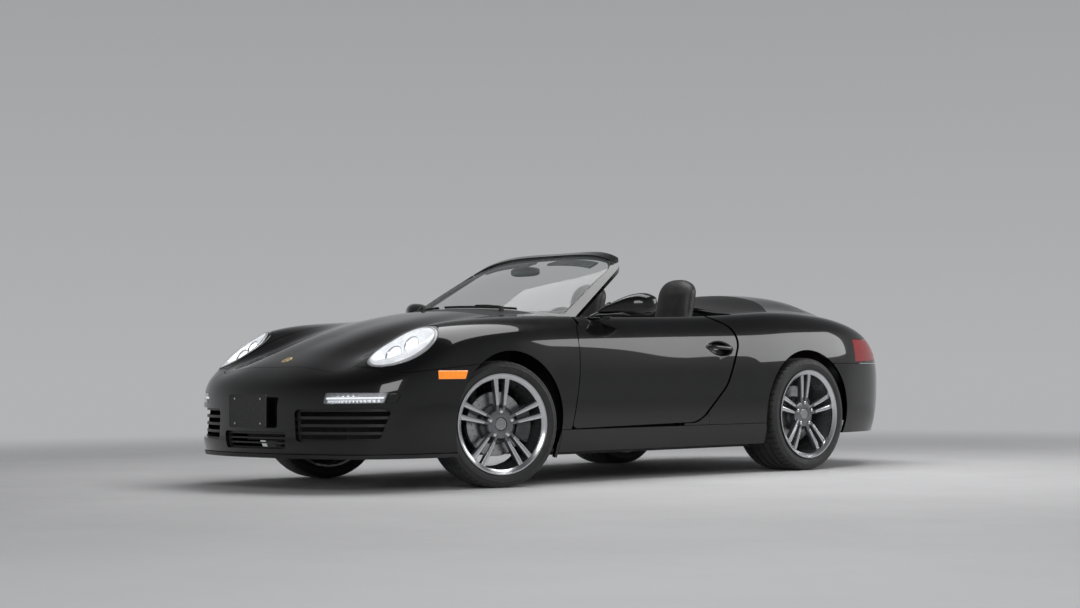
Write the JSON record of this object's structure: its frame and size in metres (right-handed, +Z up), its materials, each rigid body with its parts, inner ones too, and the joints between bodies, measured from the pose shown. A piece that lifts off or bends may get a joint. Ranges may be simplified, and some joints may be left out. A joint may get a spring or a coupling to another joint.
{
  "type": "open two-door sports car",
  "caption": "Low rear-engined open sports car with oval headlamps, twin-spoke wheels, opening doors and lids, steered front wheels and a stowed roof.",
  "frame": {"origin": "on the ground at the middle of the car's overall box", "axes": "+Z up, the front of the car looks along -Y, the car's left side is +X"},
  "size_m": [2.016, 4.4662, 1.275],
  "materials": {
    "paint": "gloss",
    "black_plastic": "satin",
    "under_metal": "matte",
    "glass": "clear",
    "lamp_cover": "clear",
    "lamp_red": "gloss",
    "lamp_amber": "gloss",
    "lamp_inside": "polished",
    "plate": "satin",
    "leather": "grained",
    "dash_skin": "grained",
    "steel": "brushed",
    "cast": "cast",
    "engine": "cast",
    "wheel_silver": "machined",
    "tyre": "matte"
  },
  "bodies": {
    "shell": {"cowl": "black_plastic", "dashboard": "dash_skin", "exhaust": "steel", "fender_left": "paint", "fender_right": "paint", "floor_pan": "under_metal", "front_axle": "cast", "front_bumper": "paint", "front_grilles": "black_plastic", "front_lamps": "lamp_cover", "front_lip": "black_plastic", "front_tub": "under_metal", "headlamp_bowls": "lamp_inside", "headlamp_lenses": "lamp_cover", "inner_mirror": "dash_skin", "number_plates": "plate", "power_unit": "engine", "quarter_left": "paint", "quarter_right": "paint", "rear_axle": "cast", "rear_bumper": "paint", "rear_frame": "under_metal", "rear_seats": "leather", "seat_left": "leather", "seat_right": "leather", "side_markers": "lamp_amber", "sills": "paint", "tail_lamps": "lamp_red", "windshield_frame": "paint", "windshield_glass": "glass", "wipers": "black_plastic"},
    "front_wheel_left": {"tyre_front_left": "tyre", "wheel_front_left": "wheel_silver", "disc_front_left": "cast"},
    "front_wheel_right": {"tyre_front_right": "tyre", "wheel_front_right": "wheel_silver", "disc_front_right": "cast"},
    "rear_wheel_left": {"tyre_rear_left": "tyre", "wheel_rear_left": "wheel_silver", "disc_rear_left": "cast"},
    "rear_wheel_right": {"tyre_rear_right": "tyre", "wheel_rear_right": "wheel_silver", "disc_rear_right": "cast"},
    "upright_left": {"knuckle_left": "cast"},
    "upright_right": {"knuckle_right": "cast"},
    "left_door": {"door_left": "paint", "door_mirror_left": "paint"},
    "right_door": {"door_right": "paint", "door_mirror_right": "paint"},
    "luggage_lid": {"front_lid": "paint"},
    "rear_lid": {"engine_lid": "paint"},
    "roof_cover": {"top_cover": "paint"},
    "driver_wheel": {"steering_wheel": "dash_skin"}
  },
  "joints": [
    {"name": "steer_left", "type": "hinge", "parent": "shell", "child": "upright_left", "pos_m": [0.68, -1.215, 0.3235], "axis": [0, 0, 1], "range_deg": [-21, 49]},
    {"name": "steer_right", "type": "hinge", "parent": "shell", "child": "upright_right", "pos_m": [-0.68, -1.215, 0.3235], "axis": [0, 0, 1], "range_deg": [-21, 49]},
    {"name": "steering_wheel_turn", "type": "hinge", "parent": "shell", "child": "driver_wheel", "pos_m": [0.37, -0.305, 0.772], "axis": [0, -0.9135, -0.4067], "range_deg": [-784, 336]},
    {"name": "spin_front_left", "type": "hinge", "parent": "upright_left", "child": "front_wheel_left", "pos_m": [0.74113, -1.23024, 0.3235], "axis": [0.9703, -0.2419, 0], "continuous": true},
    {"name": "spin_front_right", "type": "hinge", "parent": "upright_right", "child": "front_wheel_right", "pos_m": [-0.74113, -1.19976, 0.3235], "axis": [0.9703, -0.2419, 0], "continuous": true},
    {"name": "spin_rear_left", "type": "hinge", "parent": "shell", "child": "rear_wheel_left", "pos_m": [0.748, 1.135, 0.33], "axis": [1, 0, 0], "continuous": true},
    {"name": "spin_rear_right", "type": "hinge", "parent": "shell", "child": "rear_wheel_right", "pos_m": [-0.748, 1.135, 0.33], "axis": [1, 0, 0], "continuous": true},
    {"name": "door_left_hinge", "type": "hinge", "parent": "shell", "child": "left_door", "pos_m": [0.828, -0.66, 0.56], "axis": [0, 0, 1], "range_deg": [-62, 0]},
    {"name": "door_right_hinge", "type": "hinge", "parent": "shell", "child": "right_door", "pos_m": [-0.828, -0.66, 0.56], "axis": [0, 0, 1], "range_deg": [0, 62]},
    {"name": "front_lid_hinge", "type": "hinge", "parent": "shell", "child": "luggage_lid", "pos_m": [0, -1.052, 0.925], "axis": [1, 0, 0], "range_deg": [-62, 0]},
    {"name": "engine_lid_hinge", "type": "hinge", "parent": "shell", "child": "rear_lid", "pos_m": [0, 1.515, 1.046], "axis": [1, 0, 0], "range_deg": [0, 60]},
    {"name": "top_cover_hinge", "type": "hinge", "parent": "shell", "child": "roof_cover", "pos_m": [0, 1.505, 1.046], "axis": [1, 0, 0], "range_deg": [-45, 0]}
  ],
  "couplings": [
    {"joint": "steer_right", "follows": "steer_left", "ratio": 1},
    {"joint": "steering_wheel_turn", "follows": "steer_left", "ratio": -16}
  ]
}
